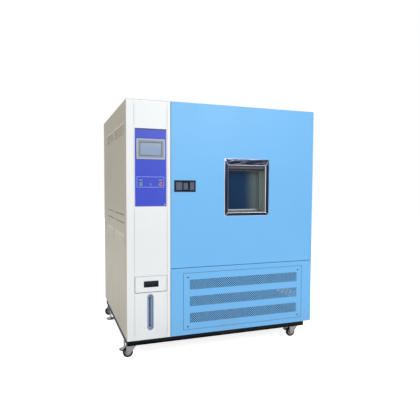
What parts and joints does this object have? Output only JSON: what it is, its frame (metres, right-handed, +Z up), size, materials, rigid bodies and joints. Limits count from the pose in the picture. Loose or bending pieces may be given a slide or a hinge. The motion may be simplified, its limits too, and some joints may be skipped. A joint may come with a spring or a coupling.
{
  "type": "environmental test chamber",
  "caption": "Walk-up climate test chamber on casters: insulated hinged door with window and flush latch, white control column, perforated machine-space grille.",
  "frame": {"origin": "on the floor under the middle of the cabinet", "axes": "+X to the right as seen from the door side, +Y to the back, +Z up"},
  "size_m": [1.6025, 1.404, 1.9],
  "materials": {
    "painted_white": "semi-gloss powder coat",
    "painted_side": "fine textured powder coat",
    "painted_blue": "semi-gloss powder coat",
    "panel_blue": "satin printed panel",
    "stainless": "brushed",
    "bright_steel": "polished",
    "zinc": "zinc plated",
    "black_steel": "satin black",
    "black_plastic": "moulded",
    "grey_plastic": "moulded",
    "green_plastic": "gloss",
    "red_plastic": "gloss",
    "glass": "clear",
    "screen_glass": "gloss",
    "foam": "rigid polyurethane foam",
    "seal_rubber": "silicone rubber",
    "tyre_rubber": "polyurethane tyre",
    "aluminium": "mill finish"
  },
  "bodies": {
    "cabinet": {"base_frame": "black_steel", "caster_plates": "zinc", "column_frame": "painted_white", "column_cover": "painted_white", "control_panel": "panel_blue", "touchscreen_housing": "grey_plastic", "touchscreen_glass": "screen_glass", "button_rings": "bright_steel", "level_gauge": "grey_plastic", "water_tank": "stainless", "wiring_plate": "grey_plastic", "door_keeper": "zinc", "left_side": "painted_side", "right_side": "painted_side", "rear_sheet": "painted_side", "roof_sheet": "painted_side", "rear_fittings": "black_plastic", "lower_front": "painted_blue", "grille_plate": "painted_blue", "plate_screws": "zinc", "compressor": "black_steel", "condenser": "aluminium", "foam_box": "foam", "liner": "stainless", "cable_port": "black_plastic", "shelf_rails": "stainless", "air_baffle": "stainless", "blower_motor": "black_steel", "heater_coil": "stainless", "evaporator_coil": "aluminium", "hinge_cabinet_leaves": "stainless"},
    "door": {"door_skin": "painted_blue", "door_foam": "foam", "door_pan": "stainless", "door_seal": "seal_rubber", "window_frame": "bright_steel", "window_panes": "glass", "latch_housing": "black_plastic", "hinge_door_leaves": "stainless"},
    "latch_paddle": {"latch_paddle": "black_steel"},
    "latch_bolt": {"latch_bolt": "zinc"},
    "start_button": {"green_button": "green_plastic"},
    "stop_button": {"red_button": "red_plastic"},
    "water_drawer": {"water_drawer": "painted_white", "drawer_pull": "black_plastic"},
    "shelf": {"shelf": "stainless"},
    "blower": {"blower_wheel": "aluminium"},
    "condenser_fan": {"condenser_fan": "black_steel"},
    "caster_front_left": {"caster_fork_front_left": "zinc"},
    "wheel_front_left": {"caster_wheel_front_left": "tyre_rubber"},
    "foot_front_left": {"levelling_foot_front_left": "grey_plastic"},
    "caster_front_right": {"caster_fork_front_right": "zinc"},
    "wheel_front_right": {"caster_wheel_front_right": "tyre_rubber"},
    "foot_front_right": {"levelling_foot_front_right": "grey_plastic"},
    "caster_rear_left": {"caster_fork_rear_left": "zinc"},
    "wheel_rear_left": {"caster_wheel_rear_left": "tyre_rubber"},
    "foot_rear_left": {"levelling_foot_rear_left": "grey_plastic"},
    "caster_rear_right": {"caster_fork_rear_right": "zinc"},
    "wheel_rear_right": {"caster_wheel_rear_right": "tyre_rubber"},
    "foot_rear_right": {"levelling_foot_rear_right": "grey_plastic"}
  },
  "joints": [
    {"name": "door_hinge", "type": "hinge", "parent": "cabinet", "child": "door", "pos_m": [0.79, -0.588, 1.28], "axis": [0, 0, 1], "range_deg": [0, 120]},
    {"name": "paddle_pivot", "type": "hinge", "parent": "door", "child": "latch_paddle", "pos_m": [-0.3327, -0.682, 1.254], "axis": [1, 0, 0], "range_deg": [0, 35], "stiffness_Nm_per_rad": 0.4},
    {"name": "bolt_slide", "type": "slide", "parent": "door", "child": "latch_bolt", "axis": [1, 0, 0], "range_m": [0, 0.012]},
    {"name": "start_button_press", "type": "slide", "parent": "cabinet", "child": "start_button", "axis": [0, 1, 0], "range_m": [0, 0.003], "stiffness_N_per_m": 400},
    {"name": "stop_button_press", "type": "slide", "parent": "cabinet", "child": "stop_button", "axis": [0, 1, 0], "range_m": [0, 0.003], "stiffness_N_per_m": 400},
    {"name": "drawer_slide", "type": "slide", "parent": "cabinet", "child": "water_drawer", "axis": [0, -1, 0], "range_m": [0, 0.18]},
    {"name": "shelf_slide", "type": "slide", "parent": "cabinet", "child": "shelf", "axis": [0, -1, 0], "range_m": [0, 0.035]},
    {"name": "blower_spin", "type": "hinge", "parent": "cabinet", "child": "blower", "pos_m": [0.165, 0.27, 1.47], "axis": [0, 1, 0], "continuous": true},
    {"name": "condenser_fan_spin", "type": "hinge", "parent": "cabinet", "child": "condenser_fan", "pos_m": [0.167, -0.505, 0.353], "axis": [0, 1, 0], "continuous": true},
    {"name": "caster_swivel_front_left", "type": "hinge", "parent": "cabinet", "child": "caster_front_left", "pos_m": [-0.728, -0.615, 0.08], "axis": [0, 0, 1], "continuous": true},
    {"name": "wheel_spin_front_left", "type": "hinge", "parent": "caster_front_left", "child": "wheel_front_left", "pos_m": [-0.763, -0.615, 0.0375], "axis": [0, 1, 0], "continuous": true},
    {"name": "caster_swivel_front_right", "type": "hinge", "parent": "cabinet", "child": "caster_front_right", "pos_m": [0.66, -0.615, 0.08], "axis": [0, 0, 1], "continuous": true},
    {"name": "wheel_spin_front_right", "type": "hinge", "parent": "caster_front_right", "child": "wheel_front_right", "pos_m": [0.625, -0.615, 0.0375], "axis": [0, 1, 0], "continuous": true},
    {"name": "caster_swivel_rear_left", "type": "hinge", "parent": "cabinet", "child": "caster_rear_left", "pos_m": [-0.728, 0.515, 0.08], "axis": [0, 0, 1], "continuous": true},
    {"name": "wheel_spin_rear_left", "type": "hinge", "parent": "caster_rear_left", "child": "wheel_rear_left", "pos_m": [-0.763, 0.515, 0.0375], "axis": [0, 1, 0], "continuous": true},
    {"name": "caster_swivel_rear_right", "type": "hinge", "parent": "cabinet", "child": "caster_rear_right", "pos_m": [0.66, 0.515, 0.08], "axis": [0, 0, 1], "continuous": true},
    {"name": "wheel_spin_rear_right", "type": "hinge", "parent": "caster_rear_right", "child": "wheel_rear_right", "pos_m": [0.625, 0.515, 0.0375], "axis": [0, 1, 0], "continuous": true},
    {"name": "foot_screw_front_left", "type": "slide", "parent": "cabinet", "child": "foot_front_left", "axis": [0, 0, 1], "range_m": [0, 0.02]},
    {"name": "foot_screw_front_right", "type": "slide", "parent": "cabinet", "child": "foot_front_right", "axis": [0, 0, 1], "range_m": [0, 0.02]},
    {"name": "foot_screw_rear_left", "type": "slide", "parent": "cabinet", "child": "foot_rear_left", "axis": [0, 0, 1], "range_m": [0, 0.02]},
    {"name": "foot_screw_rear_right", "type": "slide", "parent": "cabinet", "child": "foot_rear_right", "axis": [0, 0, 1], "range_m": [0, 0.02]}
  ],
  "couplings": [
    {"joint": "paddle_pivot", "follows": "bolt_slide", "rad_per_m": 50.9}
  ]
}
